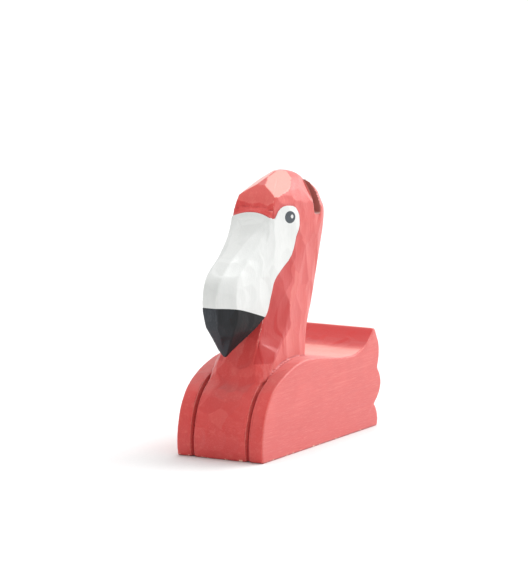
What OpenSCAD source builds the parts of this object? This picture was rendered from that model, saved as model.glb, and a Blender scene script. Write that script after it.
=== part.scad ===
// Eyeglasses stand: a flamingo bust glued up from shaped and carved wooden blocks.
// The bird faces -Y. The origin is the centre of the flat base, and +Z is up.
// Side outlines are written as [y, z], with y measured back from the chest's front face.

/* [Body] */
// Width across both wings
body_w = 50; // [46:1:56]
// Length of the flat base
base_l = 122; // [116:1:130]
// Thickness of the middle board, which carries the neck
core_w = 34; // [34:0.5:36]
// Width of the carved groove between the chest and each wing
groove_w = 2; // [1:0.1:2.4]
// Depth of that groove
groove_d = 1.8; // [0.8:0.1:2.4]

/* [Temple slot] */
// Front wall of the slot, back from the chest's front face
slot_y = 69.5; // [67:0.5:71]
// Width of the slot, which takes two folded temples
slot_w = 6.4; // [5:0.2:7]
// Height of the slot's floor above the base
slot_z = 118; // [114:1:122]

/* [Joinery] */
// Radius of the dowels under the neck
neck_dowel_r = 4; // [3:0.5:4.5]
// Radius of the dowels that hold the wings
wing_dowel_r = 3; // [2:0.5:3.5]
// Radius of the dowel behind the bill
bill_dowel_r = 3; // [2:0.5:4]
// Radius of the dowel in the bill's tip
tip_dowel_r = 2; // [1.5:0.5:2.5]
// Room for glue around every dowel
glue_gap = 0.1; // [0.05:0.05:0.2]

/* [Hidden] */

CORAL = "#e8736c";
WHITE = "#f1f0ec";
BLACK = "#2e3034";
WOOD = "#d9b98c";

far = 200;              // longer than the stand in any direction
spline_steps = 4;       // parts that a smooth outline has between two of its points
ring_steps = 2;         // parts that a loft has between two stations
bow_steps = 8;          // parts that a bulging edge has
front_parts = 5;        // parts of a head ring's chamfer, flat side and rounded back corner
side_parts = 4;
corner_parts = 4;
nose_parts = 3;         // parts of a bill ring in front of its side ridge and behind it
cheek_parts = 4;
face_steps = 2;         // parts that the face's outline has between two of its points
eye_step = 10;          // degrees between two points of the eye's outlines
rod_facets = 64;
over = 1;               // how far a cutting tool runs past what it cuts
groove_end = 45;        // where the grooves run out at the foot of the neck, as a y

// Side outline of the chest and back, from the bottom of the chest to the crest of the tail.
BACK = [[0, 0], [-0.8, 5], [-0.6, 12], [0.8, 19], [3.4, 26], [9.5, 34], [19, 40], [30, 44],
        [42, 46.4], [58, 45.6], [75, 43.2], [base_l - 34, 41.8], [base_l - 24, 41.8],
        [base_l - 15, 44], [base_l - 9, 48], [base_l - 4, 52.6]];
// Ends of the tail's three feather lobes, and how far each lobe bulges.
TAIL = [[base_l - 2.5, 52.8], [base_l, 31], [base_l - 3.2, 12], [base_l, 0]];
TAIL_BULGE = [3.2, 5.6, 2];

// Stations of the neck and head: [z, front y, front half width, y and half width where the
// chamfer ends, y and half width where the back's round begins, back y, back half width].
HEAD = [[38, 14, 14.5, 20, 17, 54, 17, 63.5, 11],
        [46, 17, 11.5, 24, 16.6, 55, 16.6, 65, 9],
        [53, 20.5, 10, 31, 16.2, 56.5, 16.2, 67, 8],
        [61, 23.6, 10, 39, 15.8, 59, 15.8, 69.6, 8],
        [71, 26, 11.6, 45, 15.5, 62.5, 15.6, 73, 8],
        [80, 27.35, 13.5, 48, 15.3, 66, 15.5, 76.2, 8],
        [90, 28.85, 14, 50, 15.3, 69.4, 15.6, 79.2, 8],
        [100, 30.35, 14, 51, 15.4, 72.5, 15.8, 82.2, 8],
        [108, 31.55, 13.4, 51, 15.6, 74.8, 16.1, 84.2, 8],
        [116, 32.75, 12.4, 51, 15.7, 76.3, 16.3, 85.4, 8],
        [121, 33.5, 11.9, 51, 15.4, 76.3, 16, 85.4, 8],
        [126, 34.6, 11.6, 51, 14.4, 75, 14.8, 84.2, 7.5],
        [130, 36.4, 11, 52, 13, 72.4, 13.2, 82, 6.5],
        [134, 40, 9.4, 53, 10.8, 69.5, 10.8, 78, 5.5],
        [137, 45.5, 7, 54, 8.2, 66, 8.2, 73.5, 4.5],
        [139.4, 52, 4, 57, 5, 63, 5, 68.5, 2.8],
        [140.4, 57, 2.2, 59, 2.6, 61, 2.6, 65, 1.4]];
seat_room = 2.5;        // how far the neck's seat runs behind the neck's lowest station
neck_seat_y = [HEAD[0][1], HEAD[0][7] + seat_room];   // the notch that the neck stands in
neck_seat_z = HEAD[0][0];

// Stations of the bill: [z, nose y, nose half width, side ridge y, its half width, rear y,
// rear half width].
BILL = [[51.4, 4.6, 0.5, 5, 0.7, 5.8, 0.5],
        [55, 2.4, 1.1, 3.6, 3, 9, 2.9],
        [59, -1, 1.8, 2.2, 5, 13.2, 5.9],
        [63, -4.4, 2.6, 1.4, 6.8, 18, 8.6],
        [67, -7.2, 3.2, 1, 8.2, 22.8, 10.8],
        [71, -9.1, 3.7, 1, 9, 26, 12.3],
        [75, -9.9, 4, 1.2, 9.6, 26.6, 13],
        [80, -10.1, 4.1, 1.4, 10.2, 27.35, 13.5],
        [85, -9.8, 4.1, 0.8, 9.9, 28.1, 13.8],
        [89, -8.7, 4.1, 1, 9.5, 28.7, 14],
        [93, -5.9, 4.1, 3.6, 9.4, 29.3, 14],
        [97, -0.2, 4.1, 8.2, 9.2, 29.9, 14],
        [101, 7, 4.3, 13.8, 9.1, 30.5, 13.9],
        [105, 13.4, 4.7, 19, 9.2, 31.1, 13.7],
        [109, 19.2, 5.2, 23.6, 9.6, 31.7, 13.3],
        [113, 24.4, 5.8, 27.6, 10.3, 32.3, 12.8],
        [117, 28.8, 6.4, 30.6, 11, 32.9, 12.3],
        [119.5, 31.2, 6.8, 32, 11.4, 33.25, 12],
        [121, 32.2, 5.4, 32.8, 9.2, 33.45, 9.8],
        [122.3, 33, 3.4, 33.25, 6, 33.7, 6.6],
        [123, 33.55, 1.4, 33.65, 2.6, 33.85, 2.8]];

// Edge of the white face on the side of the head, from the foot of the bill to the forehead.
FACE = [[27, 72], [28.2, 79], [29.8, 84.5], [31.8, 88.5], [36.5, 92.4], [44.2, 96.6],
        [49.3, 102.7], [51.5, 108.4], [54.1, 114], [54.5, 119.1], [51.5, 123.2], [48, 124.4],
        [42.5, 124.6], [38, 122.6], [35.2, 119.2], [32, 119.4]];
FACE_FRONT = [[28, 119.4], [20, 72]];     // closes that outline in front of the head
face_stations = [4, 12];    // the head's stations that the face patches and the eyes lie between
eye_stations = [8, 11];
patch_x = 11;           // flat back of the face patches, from the middle
pupil_at = [46.2, 118.8];
pupil_half = [3.95, 3.1];
pupil_x = 12.8;         // flat back of the pupils
glint_at = pupil_at + [1.5, 0.2];
glint_r = 1;
glint_x = 13.8;         // flat back of the catchlights
// Joint between the white bill and its black tip, which curves down towards the neck.
TIP_JOINT = [[-14, 78.9], [0, 77.3], [12, 74.2], [30, 68.6]];

NECK_DOWELS = [[30, 22, 58], [52, 22, 58]];     // each [y, bottom z, top z]
WING_DOWELS = [[16, 14], [64, 26], [base_l - 18, 16]];  // each [y, z]
wing_dowel_x = [9, 22];
bill_dowel_y = [12, 46];
bill_dowel_z = 92;
tip_dowel_y = 9;
tip_dowel_z = [66, 88];
dowel_end = 0.5;        // room past the end of each dowel

// A point of a smooth curve through p, at share t of the way from p[i] to p[i + 1].
function smooth(p, i, t) =
    let (a = p[max(i - 1, 0)], b = p[i], c = p[i + 1], d = p[min(i + 2, len(p) - 1)])
    b + (c - a) * t / 2 + (2 * a - 5 * b + 4 * c - d) * t * t / 2
    + (3 * b - a - 3 * c + d) * t * t * t / 2;
function spline(p, n) =
    [for (i = [0 : len(p) - 2], k = [0 : n - 1]) smooth(p, i, k / n), p[len(p) - 1]];
// A shallow bow from a to b, without a itself, that bulges by h towards +y.
function bow(a, b, h) =
    [for (k = [1 : bow_steps]) let (t = k / bow_steps) a * (1 - t) + b * t + [4 * h * t * (1 - t), 0]];
// The straight way from a to b in n steps, without b itself.
function steps(a, b, n) = [for (k = [0 : n - 1]) a + (b - a) * k / n];
// A quarter of an ellipse that leaves a along y and reaches b along x, without b itself.
function round_corner(a, b, n) =
    [for (k = [0 : n - 1]) let (t = 90 * k / n)
     [b[0] + (a[0] - b[0]) * cos(t), a[1] + (b[1] - a[1]) * sin(t)]];

BODY = concat(spline(BACK, spline_steps), [TAIL[0]],
              [for (i = [0 : 2]) each bow(TAIL[i], TAIL[i + 1], TAIL_BULGE[i])]);

// A slab between x0 and x1 with an outline of [y, z] points.
module slab(points, x0, x1)
    translate([x0, -base_l / 2, 0]) rotate([90, 0, 90]) linear_extrude(x1 - x0) polygon(points);

// A closed loft through rings that all have the same number of points. Its two caps are strips
// that run from each point of a ring's right half to that point's mirror image.
module loft(rings) {
    n = len(rings[0]);
    last = (len(rings) - 1) * n;
    sides = [for (i = [0 : len(rings) - 2], j = [0 : n - 1]) let (a = i * n + j, b = i * n + (j + 1) % n)
             each [[a, a + n, b + n], [a, b + n, b]]];
    caps = [for (j = [0 : n / 2 - 2]) let (a = j, b = j + 1, c = n - 2 - j, d = n - 1 - j)
            each [[a, b, c], [a, c, d], [last + a, last + c, last + b], [last + a, last + d, last + c]]];
    polyhedron([for (r = rings, p = r) p], concat(sides, caps));
}

// A ring at height z, from its right half, which runs from the front to the back as [x, y].
function ring(half, z) =
    concat([for (p = half) [p[0], p[1] - base_l / 2, z]],
           [for (i = [len(half) - 1 : -1 : 0]) [-half[i][0], half[i][1] - base_l / 2, z]]);

function head_ring(s) =
    let (front = [s[2], s[1]], side = [s[4], s[3]], turn = [s[6], s[5]], back = [s[8], s[7]])
    ring(concat(steps(front, side, front_parts), steps(side, turn, side_parts),
                round_corner(turn, back, corner_parts), [back]), s[0]);

function bill_ring(s) =
    let (nose = [s[2], s[1]], ridge = [s[4], s[3]], rear = [s[6], s[5]])
    ring(concat(steps(nose, ridge, nose_parts), steps(ridge, rear, cheek_parts), [rear]), s[0]);

// The whole head, or only the stations from index first to index last.
module head_form(first = 0, last = len(HEAD) - 1)
    loft([for (i = [first * ring_steps : last * ring_steps]) head_ring(spline(HEAD, ring_steps)[i])]);
module bill_form() loft([for (s = spline(BILL, ring_steps)) bill_ring(s)]);

// Everything under the joint between the bill and its tip.
module tip_space()
    slab(concat(spline(TIP_JOINT, spline_steps), [[TIP_JOINT[3][0], 0], [TIP_JOINT[0][0], 0]]),
         -far / 2, far / 2);

// From here on side is 1 for the bird's left, +X, and -1 for its right.
module face_space(side)
    slab(concat(spline(FACE, face_steps), FACE_FRONT),
         side > 0 ? patch_x : -far, side > 0 ? far : -patch_x);
module eye_space(side, at, half, depth_x)
    slab([for (k = [0 : eye_step : 360 - eye_step]) at + [half[0] * cos(k), half[1] * sin(k)]],
         side > 0 ? depth_x : -far, side > 0 ? far : -depth_x);
module pupil_space(side) eye_space(side, pupil_at, pupil_half, pupil_x);
module glint_space(side) eye_space(side, glint_at, [glint_r, glint_r], glint_x);

// Each set of dowels is also the tool that bores its holes, with gap as the room around it.
module rod(from, along, r, h, gap)
    translate([0, -base_l / 2, 0] + from) rotate(along) translate([0, 0, gap > 0 ? -dowel_end : 0])
        cylinder(r = r + gap, h = h + (gap > 0 ? 2 * dowel_end : 0), $fn = rod_facets);
module neck_dowel_set(gap = 0)
    for (d = NECK_DOWELS) rod([0, d[0], d[1]], [0, 0, 0], neck_dowel_r, d[2] - d[1], gap);
module wing_dowel_set(side, gap = 0)
    for (d = WING_DOWELS) rod([side * wing_dowel_x[0], d[0], d[1]], [0, side * 90, 0], wing_dowel_r,
                              wing_dowel_x[1] - wing_dowel_x[0], gap);
module bill_dowel_rod(gap = 0)
    rod([0, bill_dowel_y[0], bill_dowel_z], [-90, 0, 0], bill_dowel_r,
        bill_dowel_y[1] - bill_dowel_y[0], gap);
module tip_dowel_rod(gap = 0)
    rod([0, tip_dowel_y, tip_dowel_z[0]], [0, 0, 0], tip_dowel_r, tip_dowel_z[1] - tip_dowel_z[0], gap);

// The notch that the neck stands in: flat at the bottom, and square at both ends.
module neck_seat()
    translate([-far / 2, neck_seat_y[0] - base_l / 2, neck_seat_z])
        cube([far, neck_seat_y[1] - neck_seat_y[0], far]);

// The middle board before the notch for the neck is cut, with a groove along each front edge.
module middle_board() difference() {
    slab(BODY, -core_w / 2, core_w / 2);
    for (side = [-1, 1]) difference() {
        slab([[-far, -over], [groove_end, -over], [groove_end, far], [-far, far]],
             side > 0 ? core_w / 2 - groove_w : -core_w / 2 - over,
             side > 0 ? core_w / 2 + over : groove_w - core_w / 2);
        translate([0, groove_d, -groove_d]) slab(BODY, -core_w, core_w);
    }
}

module body_core() color(CORAL) difference() {
    middle_board();
    neck_seat();
    neck_dowel_set(glue_gap);
    wing_dowel_set(1, glue_gap);
    wing_dowel_set(-1, glue_gap);
}

module wing(side) color(CORAL) difference() {
    slab(BODY, side > 0 ? core_w / 2 : -body_w / 2, side > 0 ? body_w / 2 : -core_w / 2);
    wing_dowel_set(side, glue_gap);
}
module left_wing() wing(1);
module right_wing() wing(-1);

module neck_and_head() color(CORAL) difference() {
    union() {
        head_form();
        intersection() {
            middle_board();
            neck_seat();
        }
    }
    translate([-far / 2, slot_y - base_l / 2, slot_z]) cube([far, slot_w, far]);
    face_space(1);
    face_space(-1);
    neck_dowel_set(glue_gap);
    bill_dowel_rod(glue_gap);
}

module bill() color(WHITE) difference() {
    bill_form();
    tip_space();
    bill_dowel_rod(glue_gap);
    tip_dowel_rod(glue_gap);
}
module bill_tip() color(BLACK) difference() {
    intersection() {
        bill_form();
        tip_space();
    }
    tip_dowel_rod(glue_gap);
}

module face_patch(side) color(WHITE) difference() {
    intersection() {
        head_form(face_stations[0], face_stations[1]);
        face_space(side);
    }
    pupil_space(side);
}
module left_face_patch() face_patch(1);
module right_face_patch() face_patch(-1);

module pupil(side) color(BLACK) difference() {
    intersection() {
        head_form(eye_stations[0], eye_stations[1]);
        pupil_space(side);
    }
    glint_space(side);
}
module left_pupil() pupil(1);
module right_pupil() pupil(-1);

module catchlight(side) color(WHITE) intersection() {
    head_form(eye_stations[0], eye_stations[1]);
    glint_space(side);
}
module left_catchlight() catchlight(1);
module right_catchlight() catchlight(-1);

module neck_dowels() color(WOOD) neck_dowel_set();
module left_wing_dowels() color(WOOD) wing_dowel_set(1);
module right_wing_dowels() color(WOOD) wing_dowel_set(-1);
module bill_dowel() color(WOOD) bill_dowel_rod();
module tip_dowel() color(WOOD) tip_dowel_rod();

body_core();
left_wing();
right_wing();
neck_and_head();
bill();
bill_tip();
left_face_patch();
right_face_patch();
left_pupil();
right_pupil();
left_catchlight();
right_catchlight();
neck_dowels();
left_wing_dowels();
right_wing_dowels();
bill_dowel();
tip_dowel();
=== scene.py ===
# The looks of the flamingo eyeglasses stand: carved, painted wood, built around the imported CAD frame.
# Lengths are in metres. The bird faces -Y, its left side is +X, and the base stands on z = 0.
import math

import bpy
import numpy as np
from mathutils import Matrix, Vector
from mathutils.kdtree import KDTree


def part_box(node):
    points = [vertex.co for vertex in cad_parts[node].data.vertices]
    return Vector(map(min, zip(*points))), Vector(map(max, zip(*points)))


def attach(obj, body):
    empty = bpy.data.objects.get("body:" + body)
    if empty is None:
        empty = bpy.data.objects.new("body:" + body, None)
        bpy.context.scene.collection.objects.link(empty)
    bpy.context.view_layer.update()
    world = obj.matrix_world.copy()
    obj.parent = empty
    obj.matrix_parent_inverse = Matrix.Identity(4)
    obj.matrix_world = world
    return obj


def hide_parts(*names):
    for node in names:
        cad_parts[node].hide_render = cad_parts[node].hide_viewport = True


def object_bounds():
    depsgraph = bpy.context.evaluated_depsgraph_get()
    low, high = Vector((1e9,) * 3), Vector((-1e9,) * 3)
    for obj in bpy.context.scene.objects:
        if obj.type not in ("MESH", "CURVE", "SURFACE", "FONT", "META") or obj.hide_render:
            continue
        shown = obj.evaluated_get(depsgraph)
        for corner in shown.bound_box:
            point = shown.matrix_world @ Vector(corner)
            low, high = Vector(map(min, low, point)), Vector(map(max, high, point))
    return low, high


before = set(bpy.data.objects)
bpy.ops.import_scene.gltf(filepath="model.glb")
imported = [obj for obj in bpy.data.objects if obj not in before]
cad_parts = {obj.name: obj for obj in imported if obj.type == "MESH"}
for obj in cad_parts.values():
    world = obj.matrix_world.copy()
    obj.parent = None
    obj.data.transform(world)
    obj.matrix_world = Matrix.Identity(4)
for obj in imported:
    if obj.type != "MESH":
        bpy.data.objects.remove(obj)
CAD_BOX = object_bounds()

MM = 0.001

# The camera, found from the block's straight edges.
CAMERA_TURN = math.radians(29.4)        # how far the camera stands round to the bird's left
CAMERA_RISE = math.radians(9.03)
CAMERA_DISTANCE = 2.0
CAMERA_TARGET = Vector((0, -1 * MM, 65 * MM))
CAMERA_SCALE = 3.4337                   # picture heights to a metre, at the target
CAMERA_SHIFT = (-0.0256, 0.0582)
SENSOR = 36.0

VOXEL = 0.55 * MM
FAR = 0.2                               # further than any part of the stand
TOUCH = 0.01 * MM                       # CAD points closer than this share a place or a plane
SLOT_Y = 11.7 * MM                      # the middle of the slot for the temples
SLOT_HALF = 3.2 * MM
GROOVE_X = 16 * MM                      # the grooves between the chest and the wings
SIDES = (("left", 1), ("right", -1))    # the bird's sides, and where each lies along X
# Each set of dowels, and the size in mm of a grain streak in it along X, Y and Z.
DOWEL_GRAIN = {"neck_dowels": (0.7, 0.7, 12.0), "left_wing_dowels": (12.0, 0.7, 0.7),
               "right_wing_dowels": (12.0, 0.7, 0.7), "bill_dowel": (0.7, 12.0, 0.7),
               "tip_dowel": (0.7, 0.7, 12.0)}


# ---------------------------------------------------------------- meshes

def points_of(mesh):
    points = np.empty(len(mesh.vertices) * 3)
    mesh.vertices.foreach_get("co", points)
    return points.reshape(-1, 3)


def normals_of(mesh):
    normals = np.empty(len(mesh.vertices) * 3)
    mesh.vertex_normals.foreach_get("vector", normals)
    return normals.reshape(-1, 3)


def edges_of(mesh):
    edges = np.empty(len(mesh.edges) * 2, np.int64)
    mesh.edges.foreach_get("vertices", edges)
    return edges.reshape(-1, 2)


def set_points(mesh, points):
    mesh.vertices.foreach_set("co", points.ravel())
    mesh.update()


def new_piece(name, points, faces):
    mesh = bpy.data.meshes.new(name)
    mesh.from_pydata(np.asarray(points).tolist(), [], faces)
    piece = bpy.data.objects.new(name, mesh)
    bpy.context.scene.collection.objects.link(piece)
    return piece


def tree_of(points):
    """A tree that finds the nearest of some points."""
    tree = KDTree(len(points))
    for i, place in enumerate(points):
        tree.insert(place, i)
    tree.balance()
    return tree


def discard(piece):
    mesh = piece.data
    bpy.data.objects.remove(piece)
    bpy.data.meshes.remove(mesh)


def copy_of(nodes, name):
    """One new object that holds the meshes of some CAD nodes, with doubled corners merged."""
    points, faces, start = [], [], 0
    for node in nodes:
        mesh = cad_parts[node].data
        places = points_of(mesh)
        _, first, place_of = np.unique(np.round(places / (0.001 * MM)), axis=0,
                                       return_index=True, return_inverse=True)
        place_of = place_of.ravel() + start
        for polygon in mesh.polygons:
            face = [int(place_of[v]) for v in polygon.vertices]
            if len(set(face)) == len(face):
                faces.append(face)
        points.append(places[first])
        start += len(first)
    return new_piece(name, np.concatenate(points), faces)


def apply_modifiers(piece):
    graph = bpy.context.evaluated_depsgraph_get()
    mesh = bpy.data.meshes.new_from_object(piece.evaluated_get(graph))
    old = piece.data
    piece.modifiers.clear()
    piece.data = mesh
    bpy.data.meshes.remove(old)


def keep_outer_shell(piece):
    """Removes the small closed shells that the remesh leaves round the dowels' gaps."""
    mesh = piece.data
    edges = edges_of(mesh)
    label = np.arange(len(mesh.vertices))
    while True:
        low = label.copy()
        np.minimum.at(low, edges[:, 0], label[edges[:, 1]])
        np.minimum.at(low, edges[:, 1], label[edges[:, 0]])
        low = low[low]
        if (low == label).all():
            break
        label = low
    keep = label == np.bincount(label).argmax()
    if keep.all():
        return
    new_index = np.cumsum(keep) - 1
    faces = [[int(new_index[v]) for v in p.vertices] for p in mesh.polygons if keep[p.vertices[0]]]
    fresh = bpy.data.meshes.new(piece.name)
    fresh.from_pydata(points_of(mesh)[keep].tolist(), [], faces)
    piece.data = fresh
    bpy.data.meshes.remove(mesh)


def remesh(piece, size):
    modifier = piece.modifiers.new("remesh", "REMESH")
    modifier.mode = "VOXEL"
    modifier.voxel_size = size
    apply_modifiers(piece)
    keep_outer_shell(piece)


def relaxed(mesh, points, rounds, amount=0.5):
    """The points moved towards the middle of their neighbours, which takes the voxels' steps off."""
    edges = edges_of(mesh)
    degree = np.bincount(edges.ravel(), minlength=len(points))[:, None]
    points = points.copy()
    for _ in range(rounds):
        total = np.zeros_like(points)
        for axis in range(3):
            total[:, axis] = (np.bincount(edges[:, 0], points[edges[:, 1], axis], len(points))
                              + np.bincount(edges[:, 1], points[edges[:, 0], axis], len(points)))
        points += amount * (total / degree - points)
    return points


def cut(piece, *steps):
    """Applies some (operation, tool) steps with the exact solver for closed meshes."""
    for operation, tool in steps:
        modifier = piece.modifiers.new("cut", "BOOLEAN")
        modifier.operation = operation
        modifier.solver = "MANIFOLD"
        modifier.object = tool
    apply_modifiers(piece)
    return piece


def part_of(block, name, *steps):
    piece = bpy.data.objects.new(name, block.data.copy())
    bpy.context.scene.collection.objects.link(piece)
    return cut(piece, *steps)


def prism(name, outline, low, high, along="x"):
    """A closed prism from low to high along X, with an outline of (y, z), or along Y, of (x, z)."""
    outline = np.asarray(outline)
    turn = np.roll(outline, -1, 0)
    clockwise = (outline[:, 0] * turn[:, 1] - turn[:, 0] * outline[:, 1]).sum() < 0
    if clockwise == (along == "x"):
        outline = outline[::-1]
    count = len(outline)
    ends = (min(low, high), max(low, high))
    points = [(end, a, b) if along == "x" else (a, end, b) for end in ends for a, b in outline]
    faces = [[i, (i + 1) % count, count + (i + 1) % count, count + i] for i in range(count)]
    faces += [list(range(count))[::-1], list(range(count, 2 * count))]
    return new_piece(name, points, faces)


def rear_profile(nodes, levels):
    """The rearmost y of some CAD nodes at each level of z."""
    ends = []
    for node in nodes:
        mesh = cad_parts[node].data
        ends.append(points_of(mesh)[edges_of(mesh)])
    a, b = np.concatenate(ends).transpose(1, 0, 2)
    profile = []
    for level in levels:
        crosses = (a[:, 2] - level) * (b[:, 2] - level) < 0
        p, q = a[crosses], b[crosses]
        share = (level - p[:, 2]) / (q[:, 2] - p[:, 2])
        profile.append((p[:, 1] + share * (q[:, 1] - p[:, 1])).max())
    return np.array(profile)


def flat_back_outline(node):
    """The ordered (y, z) outline of the flat back of an inlaid CAD node, and the back's x."""
    copy = copy_of((node,), "outline")
    points = points_of(copy.data)
    back_x = points[np.abs(points[:, 0]).argmin(), 0]
    on_back = np.abs(points[:, 0] - back_x) < TOUCH
    count = {}
    for polygon in copy.data.polygons:
        if all(on_back[v] for v in polygon.vertices):
            for edge in polygon.edge_keys:
                count[edge] = count.get(edge, 0) + 1
    after = {}
    for a, b in (edge for edge, times in count.items() if times == 1):
        after.setdefault(a, []).append(b)
        after.setdefault(b, []).append(a)
    start = min(after)
    loop, previous = [start], None
    while True:
        step = [v for v in after[loop[-1]] if v != previous][0]
        if step == start:
            break
        previous = loop[-1]
        loop.append(step)
    outline = points[loop][:, 1:]
    discard(copy)
    return outline, back_x


def distance_to(outline, places):
    """How far each (y, z) place is from an outline: negative inside it."""
    a, b = outline, np.roll(outline, -1, 0)
    nearest = np.full(len(places), np.inf)
    inside = np.zeros(len(places), bool)
    for p, q in zip(a, b):
        way = q - p
        share = np.clip((places - p) @ way / (way @ way), 0, 1)
        nearest = np.minimum(nearest, np.linalg.norm(places - p - share[:, None] * way, axis=1))
        if p[1] != q[1]:
            crosses = (p[1] > places[:, 1]) != (q[1] > places[:, 1])
            at = p[0] + way[0] * (places[:, 1] - p[1]) / way[1]
            inside ^= crosses & (places[:, 0] < at)
    return np.where(inside, -nearest, nearest)


def ramp(values, low, high):
    """0 below low, 1 above high, and smooth between them."""
    t = np.clip((values - low) / (high - low), 0, 1)
    return t * t * (3 - 2 * t)


# ---------------------------------------------------------------- carving

CLIMB_LIMIT = 0.12 * MM                 # the most that a cut deepens where the surface climbs
TURN_FREE = 0.85                        # a cut fades where the cosine of the turn is below this
TURN_FADE = 4 * MM                      # and how much shallower it gets, for a cosine of 0
REACH = 2.5                             # how far a cut reaches, in spacings


class Carver:
    """Knife cuts on one dense mesh. Each cut is a shallow dish round a place on the surface, and the
    deepest one wins, which leaves crisp ridges between them as a blade does."""

    def __init__(self, piece, seed):
        self.piece = piece
        self.points = points_of(piece.data)
        self.normals = normals_of(piece.data)
        self.depth = np.full(len(self.points), -1.0)
        self.tone = np.zeros(len(self.points))
        self.allowed = np.ones(len(self.points), bool)
        self.random = np.random.default_rng(seed)

    def places(self, zone, spacing, stretch):
        """Points of the zone at least a spacing apart, measured with stretch along X, Y and Z."""
        order = self.random.permutation(np.flatnonzero(zone))
        scaled = self.points[order] / stretch
        free = np.ones(len(order), bool)
        chosen = []
        for i in range(len(order)):
            if free[i]:
                chosen.append(order[i])
                free &= ((scaled - scaled[i]) ** 2).sum(1) > spacing ** 2
        return chosen

    def take(self, which, deep, tone):
        """Lets a cut's depth count where it is the deepest so far."""
        wins = deep > self.depth[which]
        self.depth[which[wins]] = deep[wins]
        self.tone[which[wins]] = tone

    def dish(self, centre, facing, depth, rise, stretch, reach, tone):
        """One cut that faces a given way. Its floor climbs by rise times the distance squared."""
        offset = self.points - centre
        far = ((offset / np.array(stretch)) ** 2).sum(1)
        near = np.flatnonzero((far < reach ** 2) & self.allowed)
        turned = np.clip(TURN_FREE - self.normals[near] @ facing, 0, 1)
        deep = np.minimum(offset[near] @ facing, CLIMB_LIMIT) + depth - rise * far[near]
        self.take(near, deep - TURN_FADE * turned, tone)

    def flatten(self, facing, depth, zone, tone):
        """One flat cut across the part of a zone that stands out furthest towards facing."""
        facing = np.array(facing) / np.linalg.norm(facing)
        height = self.points @ facing
        inside = np.flatnonzero(zone & self.allowed & (self.normals @ facing > 0.2))
        self.take(inside, height[inside] - height[zone].max() + depth, tone)

    def cuts(self, zone, spacing, depth, stretch, tilt, rise, tone):
        """Cuts of about the given depth all over a zone, which take the paint unevenly."""
        stretch = np.array(stretch)
        for index in self.places(zone, spacing, stretch):
            facing = self.normals[index]
            lean = self.random.normal(0, tilt, 3)
            facing = facing + lean - facing * lean.dot(facing)
            facing = facing / np.linalg.norm(facing)
            sunk = depth * self.random.uniform(0.6, 1.3)
            self.dish(self.points[index], facing, sunk, rise, stretch, REACH * spacing,
                       tone * self.random.uniform(-1, 1))

    def apply(self, deepest, extra=0.0):
        """Moves the surface in by the cuts' depth, plus an extra depth for each point."""
        depth = np.clip(self.depth, 0, deepest) + extra
        set_points(self.piece.data, self.points - depth[:, None] * self.normals)


def standing_out(piece, rounds):
    """How far each point stands out of (+) or lies below (-) its surroundings, in metres."""
    points = points_of(piece.data)
    flat = relaxed(piece.data, points, rounds)
    return ((points - flat) * normals_of(piece.data)).sum(1)


def give_values(piece, tree, layers):
    """Stores values on the piece as float attributes, from the nearest point in the tree."""
    nearest = np.array([tree.find(v.co)[1] for v in piece.data.vertices])
    for name, values in layers.items():
        layer = piece.data.attributes.new(name, "FLOAT", "POINT")
        layer.data.foreach_set("value", values[nearest].astype(np.float32))


# ---------------------------------------------------------------- the carved block

head_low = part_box("neck_and_head")[0]
wing_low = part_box("left_wing")[0]
bill_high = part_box("bill")[1]
tip_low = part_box("bill_tip")[0]
front_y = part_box("body_core")[0].y
seat = points_of(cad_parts["neck_and_head"].data)
seat_back = seat[seat[:, 2] < head_low.z + TOUCH, 1].max()
seat_step = head_low.z + 8.5 * MM        # above it, the neck may reach further back
face_outline = flat_back_outline("left_face_patch")[0]
levels = np.linspace(tip_low.z + 0.2 * MM, bill_high.z - 0.2 * MM, 90)
rear = rear_profile(("bill", "bill_tip"), levels)
free_foot = 0.6 * MM * (1 - ramp(levels, 67 * MM, 70 * MM))     # where the bill leaves the neck
bill_outline = [*zip(rear + free_foot, levels), (rear[-1], bill_high.z), (-FAR, bill_high.z),
                (-FAR, tip_low.z - 1 * MM), (rear[0], tip_low.z - 1 * MM)]
bill_outline = np.array(bill_outline)

block = copy_of(sorted(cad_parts), "block")
remesh(block, VOXEL)
points = points_of(block.data)
sawn = (ramp(points[:, 2], 113 * MM, 115 * MM) * ramp(points[:, 1], 6 * MM, 7 * MM)
        * (1 - ramp(points[:, 1], 16 * MM, 17 * MM)))[:, None]      # the slot's edges stay sharp
set_points(block.data, sawn * relaxed(block.data, points, 1)
           + (1 - sawn) * relaxed(block.data, points, 5))

# The carver's files have run the chest into the neck, and taken off the sharp crest of the tail.
points = points_of(block.data)
x, y, z = points.T
back = y - front_y                       # how far back from the chest's front
faired = relaxed(block.data, points, 110)
foot = (1 - ramp(np.abs(x), 12.5 * MM, 15.5 * MM)) * ramp(z, 26 * MM, 34 * MM) * (
    1 - ramp(z, 48 * MM, 58 * MM)) * ramp(back, 2 * MM, 6 * MM) * (back < 40 * MM)
foot *= distance_to(bill_outline, points[:, 1:]) > 3 * MM
crest = ramp(z, 44 * MM, 48 * MM) * ramp(back, 112 * MM, 116 * MM) * 0.25
share = np.maximum(foot, crest)[:, None]
set_points(block.data, points + share * (faired - points))

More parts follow.
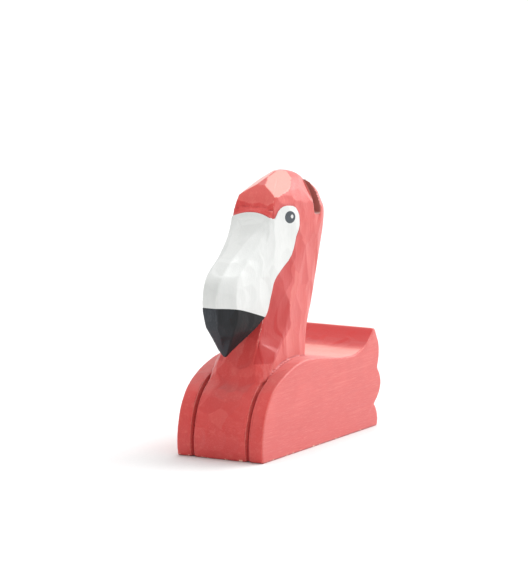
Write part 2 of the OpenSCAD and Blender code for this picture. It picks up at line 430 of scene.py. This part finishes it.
carver = Carver(block, 7)
x, y, z = carver.points.T
nx, ny, nz = carver.normals.T
side = np.abs(x)
side_n = np.abs(nx)
back = y - front_y
from_face = distance_to(face_outline, carver.points[:, 1:])
from_bill = distance_to(bill_outline, carver.points[:, 1:])
on_side = side > 9 * MM
bill = from_bill < 0.3 * MM
in_face = on_side & (from_face < 0) & (side_n > 0.4) & ~bill
in_slot = ((side < 17.2 * MM) & (np.abs(ny) > 0.6) & (z > 117 * MM)
           & (np.abs(y - SLOT_Y) < 4 * MM))
slot_floor = (np.abs(y - SLOT_Y) < SLOT_HALF) & (z > 116 * MM) & (nz > 0.6)
in_slot |= slot_floor & (z < 119.2 * MM)
carver.allowed = ~in_slot & (nz > -0.6) | bill
above = z > head_low.z + 9 * MM
neck = above & (side < 17 * MM) & (back < 92 * MM) & ~in_face & ~in_slot & ~bill
crown = neck & (z > 127 * MM)
neck_front = neck & ~crown & (ny < -0.3)
neck_side = neck & ~crown & ~neck_front
chest = ~above & (ny < -0.35) & (side < 14.6 * MM) & (z > 1 * MM) & ~bill
wing_front = (side > wing_low.x + 0.4 * MM) & ~above & (ny < 0.2) & (side_n < 0.5) & (back < 42 * MM)
wing_side = (side_n > 0.9) & (side > 22 * MM)
scoop = (nz > 0.45) & (back > 60 * MM) & (z < 60 * MM)
tail = (ny > 0.5) & (back > 110 * MM)
# For each zone: the cuts' spacing and depth in mm, their stretch along X, Y and Z, how much they
# tilt, how fast their floors climb, and how unevenly they take the paint.
for zone, spacing, depth, stretch, tilt, rise, tone in (
        (chest, 6.0, 0.28, (1, 1, 1.3), 0.085, 9, 1.0),
        (wing_front, 7.0, 0.10, (1, 1.4, 1.4), 0.02, 2.5, 0.4),
        (wing_side, 12.0, 0.06, (1, 2.4, 0.8), 0.004, 0.6, 0.1),
        (scoop, 9.0, 0.10, (1.3, 1, 1), 0.015, 1.5, 0.3),
        (tail, 9.0, 0.12, (1.2, 1, 1.2), 0.02, 2, 0.4),
        (neck_front, 6.0, 0.5, (1, 1, 2.2), 0.12, 11, 1.0),
        (neck_side, 7.0, 0.35, (1, 1, 2.4), 0.06, 7, 1.0),
        (crown, 9.0, 0.2, (1, 1, 1), 0.05, 5, 0.3),
        (in_face, 8.0, 0.10, (1, 1, 1.3), 0.012, 2, 1.0),
        (bill, 8.0, 0.3, (1, 1, 1.5), 0.07, 6, 1.0)):
    carver.cuts(zone, spacing * MM, depth * MM, stretch, tilt, rise, tone)
# Larger flat cuts round the crown and on the forehead: where each faces, its depth, and how much paler
# (+) or deeper (-) it is painted. Those that face up are painted lighter as painted highlight; those
# that face the front more are painted darker as painted shade.
head = (z > 118 * MM) & ~bill
for facing, depth, tone in (((0.46, -0.25, 0.85), 2.7, 4.0), ((0.80, -0.48, 0.40), 0.9, -0.2),
                            ((0.86, 0.12, 0.48), 1.4, 0.8), ((0.25, 0.5, 0.84), 1.1, 1.5)):
    for _, sign in SIDES:
        carver.flatten((sign * facing[0], facing[1], facing[2]), depth * MM, head, tone)
forehead = neck & (ny < -0.3) & (side < 12 * MM) & (z > bill_high.z)
for facing, depth, tone in (((0, -0.80, 0.60), 1.1, 1.2), ((0.24, -0.95, 0.2), 0.9, -0.3),
                            ((-0.24, -0.95, 0.2), 0.9, -0.6)):
    carver.flatten(facing, depth * MM, forehead, tone)

# The neck is cut back round the white face and the bill, which leaves them proud of it. The cut is
# taken after the white pieces are made, so that it meets their edges cleanly.
from_white = np.maximum(np.minimum(from_face, from_bill), 0)
lowness = 1 - ramp(z, 112 * MM, 126 * MM)
# A sloping band, wide at the foot of the bill, that ends in a wavy ridge.
band = (18 - 14.5 * ramp(z, 74 * MM, 96 * MM) + 1.5 * np.sin(z / (4.5 * MM))
        + 0.8 * np.sin(z / (1.9 * MM))) * (1 - ramp(z, 104 * MM, 118 * MM)) * MM
BAND_SLOPE = 0.13
rebate = 0.5 * MM * (0.35 + 0.65 * lowness) * (1 - ramp(from_white, 2 * MM, 9 * MM))
rebate += BAND_SLOPE * np.clip(band - from_white, 0, None) * ramp(z, 52 * MM, 60 * MM)
rebate *= ramp(side_n, 0.25, 0.6)
rebate *= on_side & above & (side < 17 * MM) & (back < 92 * MM) & ~in_slot
# The forehead is hollow above the ledge over the bill.
hollow = ramp(z, bill_high.z - 0.3 * MM, bill_high.z + 2 * MM) * (
    1 - ramp(z, bill_high.z + 3 * MM, bill_high.z + 9 * MM)) * (1 - ramp(side, 6 * MM, 12 * MM))
relief = np.where((ny < -0.3) & ~bill, hollow, 0) * 0.8 * MM
# The chest and the wings fall away towards the grooves between them.
groove = (ny < 0.3) & (back < 44 * MM) & (side_n < 0.6) & (z < 46 * MM) & ~bill
near_groove = np.clip(1 - np.abs(side - GROOVE_X) / (2.2 * MM), 0, 1)
relief += np.where(groove, near_groove, 0) * 0.45 * MM
DEEPEST = 3.2 * MM
carver.apply(DEEPEST, relief)
set_points(block.data, np.clip(points_of(block.data), np.array(CAD_BOX[0]), np.array(CAD_BOX[1])))

# The scoop is painted lighter at its bottom, which faces up, as painted light, and darker where it
# faces the front on the slope of the tail's crest, as painted shade. The band beside the white is
# painted dark, as painted shade.
painted_light_on_scoop = ramp(nz, 0.92, 0.985) * ramp(back, 62 * MM, 92 * MM)
block_tone_and_painted_light = carver.tone + np.where(scoop, 3.6 * painted_light_on_scoop - 2 * ramp(-ny, 0.3, 0.6), 0)
beside = on_side & neck & (from_white > 0)
block_tone_and_painted_light = np.where(beside & (from_white < band), -1.9 + 0.2 * block_tone_and_painted_light, block_tone_and_painted_light)


def arch_height(across):
    """How high the white of the bill's root reaches at a distance from the middle."""
    return bill_high.z - (1.1 + 2.9 * (across / (12 * MM)) ** 2) * MM


# A dark line is painted round the white as the painted shadow of the step where the neck is cut back,
# widest where the neck is cut back most. Another runs just above the arch at the bill's root, as the
# painted shadow under the red ledge.
block_rim_shadow = np.where(beside, (0.5 + 0.5 * lowness) * (1 - ramp(from_white, 0.3 * MM, 1.7 * MM)), 0)
over_bill = (ny < -0.2) & (side < 13 * MM) & (back < 36 * MM)
over_arch = np.abs(z - arch_height(x) - 0.2 * MM)
block_rim_shadow = np.maximum(block_rim_shadow, np.where(
    over_bill, 0.8 * (1 - ramp(over_arch, 0.1 * MM, 0.6 * MM)), 0))


def survey():
    """A tree of the block's points as it is now, and the values that its materials use."""
    return tree_of(points_of(block.data)), {
        "worn_ridge_highlight_and_crease_shade": standing_out(block, 3), "hollow": standing_out(block, 24),
        "slot_shade": in_slot.astype(float), "tone": block_tone_and_painted_light, "rim_shadow": block_rim_shadow}


pieces = {}


def finish_part(name, node, now, *steps):
    """Cuts one piece out of the block, and gives it the block's values from a survey."""
    pieces[node] = part_of(block, name, *steps)
    give_values(pieces[node], *now)
    pieces[node].data.shade_smooth()
    pieces[node].data.set_sharp_from_angle(angle=math.radians(48))


# ---------------------------------------------------------------- cutting into pieces

square = [(-FAR, -FAR), (FAR, -FAR), (FAR, FAR), (-FAR, FAR)]
tools = {
    "left": prism("left_space", square, wing_low.x, FAR),
    "right": prism("right_space", square, -FAR, -wing_low.x),
    "middle": prism("middle_space", square, -wing_low.x, wing_low.x),
    "neck": prism("neck_space", [(-FAR, head_low.z), (seat_back, head_low.z),
                                 (seat_back, seat_step), (seat_back + 30 * MM, seat_step),
                                 (seat_back + 30 * MM, FAR), (-FAR, FAR)], -FAR, FAR),
    "bill": prism("bill_space", bill_outline, -FAR, FAR),
}
# The top of the bill's root is painted red, down to an arch.
arch = [(at * MM, arch_height(at * MM)) for at in range(-16, 17)]
tools["arch"] = prism("arch_space", arch + [(arch[-1][0], FAR), (arch[0][0], FAR)], -FAR, FAR, "y")
cut(tools["bill"], ("DIFFERENCE", tools["arch"]))
for name in ("face_patch", "pupil", "catchlight"):
    for hand, sign in SIDES:
        outline, back_x = flat_back_outline(f"{hand}_{name}")
        tools[f"{hand}_{name}"] = prism(f"{hand}_{name}_space", outline, back_x, sign * FAR)
GLUE_GAP = 0.1 * MM
for name in DOWEL_GRAIN:
    bore = copy_of((name,), name + "_bore")
    set_points(bore.data, points_of(bore.data) + GLUE_GAP * normals_of(bore.data))
    tools[name] = bore

# The joint between the bill and its tip runs through the points that they share.
tip = points_of(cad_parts["bill_tip"].data)
bill_tree = tree_of(points_of(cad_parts["bill"].data))
joint = np.array([p[1:] for p in tip if bill_tree.find(p)[2] < TOUCH])
joint = joint[np.argsort(joint[:, 0])]
joint = joint[np.concatenate([[True], np.diff(joint[:, 0]) > 0.2 * MM])]
joint_line = [(joint[0, 0] - 5 * MM, joint[0, 1] + 0.5 * MM), *map(tuple, joint),
              (joint[-1, 0] + 5 * MM, joint[-1, 1] - 1.5 * MM)]
tools["tip"] = prism("tip_space", joint_line + [(joint_line[-1][0], 0), (joint_line[0][0], 0)],
                    -FAR, FAR)

whole = survey()
for hand, _ in SIDES:
    finish_part(f"painted_{hand}_face", f"{hand}_face_patch", whole,
                ("INTERSECT", tools[f"{hand}_face_patch"]), ("DIFFERENCE", tools["bill"]),
                ("DIFFERENCE", tools[f"{hand}_pupil"]))
    finish_part(f"painted_{hand}_pupil", f"{hand}_pupil", whole,
                ("INTERSECT", tools[f"{hand}_pupil"]),
                ("DIFFERENCE", tools[f"{hand}_catchlight"]))
    finish_part(f"painted_{hand}_catchlight", f"{hand}_catchlight", whole,
                ("INTERSECT", tools[f"{hand}_catchlight"]))
finish_part("carved_bill", "bill", whole, ("INTERSECT", tools["bill"]),
            ("DIFFERENCE", tools["tip"]), ("DIFFERENCE", tools["bill_dowel"]),
            ("DIFFERENCE", tools["tip_dowel"]))
finish_part("carved_bill_tip", "bill_tip", whole, ("INTERSECT", tools["bill"]),
            ("INTERSECT", tools["tip"]), ("DIFFERENCE", tools["tip_dowel"]))
set_points(block.data, points_of(block.data) - rebate[:, None] * carver.normals)
cut_back = survey()
for hand, _ in SIDES:
    finish_part(f"carved_{hand}_wing", f"{hand}_wing", cut_back, ("INTERSECT", tools[hand]),
                ("DIFFERENCE", tools[f"{hand}_wing_dowels"]))
finish_part("carved_body", "body_core", cut_back, ("INTERSECT", tools["middle"]),
            ("DIFFERENCE", tools["neck"]), ("DIFFERENCE", tools["neck_dowels"]),
            ("DIFFERENCE", tools["left_wing_dowels"]),
            ("DIFFERENCE", tools["right_wing_dowels"]))
finish_part("carved_neck", "neck_and_head", cut_back, ("INTERSECT", tools["middle"]),
            ("INTERSECT", tools["neck"]), ("DIFFERENCE", tools["bill"]),
            ("DIFFERENCE", tools["left_face_patch"]), ("DIFFERENCE", tools["right_face_patch"]),
            ("DIFFERENCE", tools["neck_dowels"]), ("DIFFERENCE", tools["bill_dowel"]))
for piece in [block, *tools.values()]:
    discard(piece)


# ---------------------------------------------------------------- materials

class Finish:
    """A procedural material, built from small steps that each return a socket."""

    def __init__(self, name):
        self.material = bpy.data.materials.new(name)
        self.material.use_nodes = True
        self.tree = self.material.node_tree
        self.shader = self.tree.nodes["Principled BSDF"]
        self.place = self.add("ShaderNodeTexCoord").outputs["Object"]

    def add(self, kind, inputs=(), **settings):
        node = self.tree.nodes.new(kind)
        for key, value in settings.items():
            setattr(node, key, value)
        for key, value in dict(inputs).items():
            self.set(node, key, value)
        return node

    def set(self, node, key, value):
        if isinstance(value, bpy.types.NodeSocket):
            self.tree.links.new(value, node.inputs[key])
        else:
            node.inputs[key].default_value = value

    def noise(self, cell, detail=3.0, roughness=0.55, offset=0.0):
        """Noise from 0 to 1 whose cells have the given size along X, Y and Z, in mm."""
        size = cell if hasattr(cell, "__len__") else (cell,) * 3
        scaled = self.add("ShaderNodeMapping", {
            "Vector": self.place, "Location": (offset,) * 3,
            "Scale": tuple(1 / (s * MM) for s in size)}).outputs[0]
        return self.add("ShaderNodeTexNoise", {
            "Vector": scaled, "Scale": 1.0, "Detail": detail, "Roughness": roughness}).outputs["Fac"]

    def between(self, value, low, high, first=0.0, last=1.0):
        return self.add("ShaderNodeMapRange", {
            "Value": value, "From Min": low, "From Max": high, "To Min": first,
            "To Max": last}, interpolation_type="SMOOTHSTEP").outputs[0]

    def maths(self, operation, a, b):
        return self.add("ShaderNodeMath", {0: a, 1: b}, operation=operation).outputs[0]

    def mix(self, share, a, b, blend="MIX"):
        node = self.add("ShaderNodeMix", data_type="RGBA", blend_type=blend)
        for key, value in ((0, share), (6, a), (7, b)):
            self.set(node, key, value if not isinstance(value, tuple) else (*value, 1.0))
        return node.outputs[2]

    def value(self, name):
        return self.add("ShaderNodeAttribute", attribute_name=name).outputs["Fac"]

    def facing(self):
        """How far the surface faces the front, from 1 at the front to -1 at the back."""
        normal = self.add("ShaderNodeTexCoord").outputs["Normal"]
        along = self.add("ShaderNodeSeparateXYZ", {0: normal}).outputs["Y"]
        return self.maths("MULTIPLY", along, -1)

    def height(self):
        return self.add("ShaderNodeSeparateXYZ", {0: self.place}).outputs["Z"]

    def finish(self, colour, roughness, bumps, specular=0.5, sheen=0.0):
        self.set(self.shader, "Base Color", colour)
        self.set(self.shader, "Roughness", roughness)
        self.shader.inputs["Specular IOR Level"].default_value = specular
        self.shader.inputs["Sheen Weight"].default_value = sheen
        self.shader.inputs["Sheen Roughness"].default_value = 0.45
        normal = None
        for height, depth in bumps:
            inputs = {"Height": height, "Distance": depth, "Strength": 1.0}
            if normal is not None:
                inputs["Normal"] = normal
            normal = self.add("ShaderNodeBump", inputs).outputs[0]
        self.set(self.shader, "Normal", normal)
        return self.material


# The inside of the slot is painted dark, as painted shade.
SLOT_SHADE = (0.42, 0.17, 0.145)


def painted_wood(name, grain, base, deep, pale, dark, wood=None, roughness=0.44, ridge=0.5,
                 depth=1.0, specular=0.5, sheen=0.0, low_tone=0.0, front=(1, 1, 1)):
    """Thin matt paint over carved wood. grain is the size of a grain streak along X, Y and Z. The
    colour varies at random and is darker towards the bottom. It is paler on facets that face up, as
    painted highlight, and on raised edges, as worn paint and painted highlight; darker in creases,
    hollows, the slot, round the white and along the foot, as painted shade; and changed where the
    surface faces the front, as painted light."""
    f = Finish(name)
    streaks = f.noise(grain, 4, 0.6)
    fine = f.noise(tuple(g * 0.4 for g in grain), 2, 0.5, 3.0)
    cloud = f.noise(17, 2, 0.5, 7.0)
    brush = f.noise(tuple(g * 3 for g in grain), 3, 0.6, 5.0)
    upright = f.noise((1.1, 30.0, 9.0), 3, 0.6, 11.0)
    height = f.height()
    tone, out, low = f.value("tone"), f.value("worn_ridge_highlight_and_crease_shade"), f.value("hollow")
    colour = base
    # Each layer: what guides it, from where to where, its greatest share, and its colour.
    for guide, start, end, share, towards in (
            (cloud, 0.3, 0.7, 0.35, deep),
            (height, 34 * MM, 2 * MM, low_tone, deep),
            (brush, 0.5, 0.75, 0.18, pale),
            (upright, 0.5, 0.7, 0.22, deep),
            (streaks, 0.5, 0.7, 0.22, deep),
            (fine, 0.5, 0.75, 0.22, pale),
            # The cuts' values paint facets paler (+) or deeper (-): partly random unevenness, partly
            # painted highlight and painted shade.
            (tone, 0.0, 4.0, 1.0, pale),
            (tone, 0.0, -2.0, 1.0, deep),
            # Hollows are painted darker, as painted shade.
            (low, -0.10 * MM, -0.9 * MM, 0.6 * depth, deep),
            # Fine creases are painted darker, as painted shade.
            (out, -0.015 * MM, -0.07 * MM, 0.6 * depth, dark)):
        colour = f.mix(f.between(guide, start, end, 0, share), colour, towards)
    # Raised edges are painted paler, partly as worn paint and partly as painted highlight.
    edge = f.maths("MULTIPLY", f.between(out, 0.03 * MM, 0.14 * MM, 0, ridge),
                   f.between(fine, 0.3, 0.6, 0.45, 1.0))
    colour = f.mix(edge, colour, pale)
    if wood is not None:
        # A painted shadow line round the white and above the arch.
        colour = f.mix(f.value("rim_shadow"), colour, dark)
        # A dark line along the foot: painted contact shadow, partly dark paint.
        colour = f.mix(f.between(height, 1.0 * MM, 0.3 * MM, 0, 0.7), colour, dark)
        chip = f.maths("MULTIPLY", f.between(height, 1.3 * MM, 0.6 * MM),
                       f.between(f.noise((2.2, 2.2, 1.4), 3, 0.6, 9.0), 0.60, 0.63))
        colour = f.mix(chip, colour, wood)
        # The slot's inside is painted dark, as painted shade.
        colour = f.mix(f.value("slot_shade"), colour, SLOT_SHADE)
    # Where the surface faces the front, the colour is multiplied by front, as painted light.
    colour = f.mix(f.between(f.facing(), 0.35, 0.8), colour, front, "MULTIPLY")
    rough = f.between(brush, 0.3, 0.7, roughness - 0.06, roughness + 0.08)
    return f.finish(colour, rough, ((streaks, 0.06 * MM), (fine, 0.04 * MM)), specular, sheen)


LYING_GRAIN = (0.9, 16.0, 0.6)          # a streak's size where the grain runs along Y
STANDING_GRAIN = (0.9, 0.7, 16.0)       # and where it runs along Z
# front is painted light: on surfaces that face the front it raises the red by a fifth, the white by 7%,
# and makes the black four times lighter, standing in for how the light falls there.
CORAL = dict(base=(0.67, 0.086, 0.075), deep=(0.56, 0.046, 0.043), pale=(0.84, 0.31, 0.26),
             dark=(0.40, 0.022, 0.026), wood=(0.88, 0.62, 0.45), sheen=0.35, low_tone=0.5,
             front=(1.20, 0.95, 0.96))
coral_lying = painted_wood("coral_lying_grain", LYING_GRAIN, **CORAL)
coral_standing = painted_wood("coral_standing_grain", STANDING_GRAIN, **CORAL)
white_paint = painted_wood("white_brushed_paint", STANDING_GRAIN, base=(0.75, 0.765, 0.75),
                           deep=(0.66, 0.675, 0.66), pale=(0.82, 0.825, 0.81),
                           dark=(0.55, 0.56, 0.55), roughness=0.42, depth=0.6,
                           front=(1.07, 1.07, 1.065))
black_paint = painted_wood("black_brushed_paint", STANDING_GRAIN, base=(0.010, 0.011, 0.013),
                           deep=(0.008, 0.009, 0.010), pale=(0.034, 0.036, 0.040),
                           dark=(0.006, 0.006, 0.007), roughness=0.5, ridge=0.4,
                           specular=0.22, front=(4.2, 4.2, 4.2))
pupil_paint = painted_wood("slate_pupil_paint", STANDING_GRAIN, base=(0.058, 0.073, 0.086),
                           deep=(0.040, 0.050, 0.060), pale=(0.085, 0.10, 0.115),
                           dark=(0.03, 0.04, 0.05), roughness=0.36)


def bare_wood(name, grain):
    f = Finish(name)
    streaks = f.noise(grain, 5, 0.6)
    pores = f.noise(tuple(g * 0.25 for g in grain), 2, 0.5, 2.0)
    colour = f.mix(f.between(streaks, 0.35, 0.7), (0.72, 0.52, 0.31), (0.52, 0.33, 0.17))
    colour = f.mix(f.between(pores, 0.6, 0.8, 0, 0.5), colour, (0.33, 0.20, 0.10))
    return f.finish(colour, f.between(streaks, 0.3, 0.7, 0.5, 0.65), ((streaks, 0.04 * MM),))


# The material of each piece, and the name of its paint slot, which this script doesn't use.
FINISHES = {"left_wing": (coral_lying, "coral_paint"), "right_wing": (coral_lying, "coral_paint"),
            "body_core": (coral_lying, "coral_paint"),
            "neck_and_head": (coral_standing, "coral_paint"),
            "bill": (white_paint, "white_paint"), "bill_tip": (black_paint, "black_paint")}
for hand, _ in SIDES:
    FINISHES[f"{hand}_face_patch"] = (white_paint, "white_paint")
    FINISHES[f"{hand}_catchlight"] = (white_paint, "white_paint")
    FINISHES[f"{hand}_pupil"] = (pupil_paint, "black_paint")
for node, piece in pieces.items():
    material, slot = FINISHES[node]
    piece.data.materials.clear()
    piece.data.materials.append(material)
    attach(piece, "root")
    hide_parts(node)
for node, grain in DOWEL_GRAIN.items():
    wood = bare_wood("bare_wood_" + node, grain)
    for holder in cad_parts[node].material_slots:
        holder.material = wood


# ---------------------------------------------------------------- the studio

def aim(thing, place, target):
    thing.location = place
    thing.rotation_euler = (Vector(target) - Vector(place)).to_track_quat("-Z", "Y").to_euler()


def floor_material():
    f = Finish("pale_floor")
    paper = f.noise(2.0, 2, 0.5)
    colour = f.mix(f.between(paper, 0.3, 0.7), (0.82, 0.82, 0.82), (0.84, 0.84, 0.838))
    return f.finish(colour, f.between(paper, 0.3, 0.7, 0.88, 0.94), ((paper, 0.01 * MM),), 0.1)


FLOOR_HALF = 6.0
floor = new_piece("floor", [(-FLOOR_HALF, -FLOOR_HALF, 0), (FLOOR_HALF, -FLOOR_HALF, 0),
                            (FLOOR_HALF, FLOOR_HALF, 0), (-FLOOR_HALF, FLOOR_HALF, 0)],
                  [[0, 1, 2, 3]])
floor.data.materials.append(floor_material())


def soft_sun(name, place, strength, spread):
    """Even light from one side, as from a softbox that takes up a given angle."""
    lamp = bpy.data.lights.new(name, "SUN")
    lamp.energy = strength
    lamp.angle = math.radians(spread)
    light = bpy.data.objects.new(name, lamp)
    bpy.context.scene.collection.objects.link(light)
    aim(light, place, (0, 0, 0))


soft_sun("key", (0.45, 0.75, 0.5), 1.5, 35)
soft_sun("top", (0.05, 0.3, 1.0), 1.4, 35)

world = bpy.data.worlds.new("studio")
bpy.context.scene.world = world
world.use_nodes = True
tree = world.node_tree
background = tree.nodes["Background"]
background.inputs["Color"].default_value = (1, 1, 1, 1)
# The wall behind the stand is bright, and the room in front of it is darker.
direction = tree.nodes.new("ShaderNodeSeparateXYZ")
tree.links.new(tree.nodes.new("ShaderNodeTexCoord").outputs["Generated"], direction.inputs[0])
room = tree.nodes.new("ShaderNodeMapRange")
for name, value in (("From Min", -1), ("From Max", 1), ("To Min", 0.4), ("To Max", 1.25)):
    room.inputs[name].default_value = value
tree.links.new(direction.outputs["Y"], room.inputs["Value"])
strength = tree.nodes.new("ShaderNodeMapRange")
strength.inputs["To Max"].default_value = 1.0
tree.links.new(room.outputs[0], strength.inputs["To Min"])
tree.links.new(tree.nodes.new("ShaderNodeLightPath").outputs["Is Camera Ray"],
               strength.inputs["Value"])
tree.links.new(strength.outputs[0], background.inputs["Strength"])

lens = bpy.data.cameras.new("camera")
lens.sensor_width = SENSOR
lens.lens = CAMERA_SCALE * CAMERA_DISTANCE * SENSOR
lens.shift_x, lens.shift_y = CAMERA_SHIFT
camera = bpy.data.objects.new("camera", lens)
bpy.context.scene.collection.objects.link(camera)
away = Vector((math.sin(CAMERA_TURN) * math.cos(CAMERA_RISE),
               -math.cos(CAMERA_TURN) * math.cos(CAMERA_RISE), math.sin(CAMERA_RISE)))
aim(camera, CAMERA_TARGET + CAMERA_DISTANCE * away, CAMERA_TARGET)
bpy.context.scene.camera = camera
bpy.context.scene.view_settings.view_transform = "Standard"
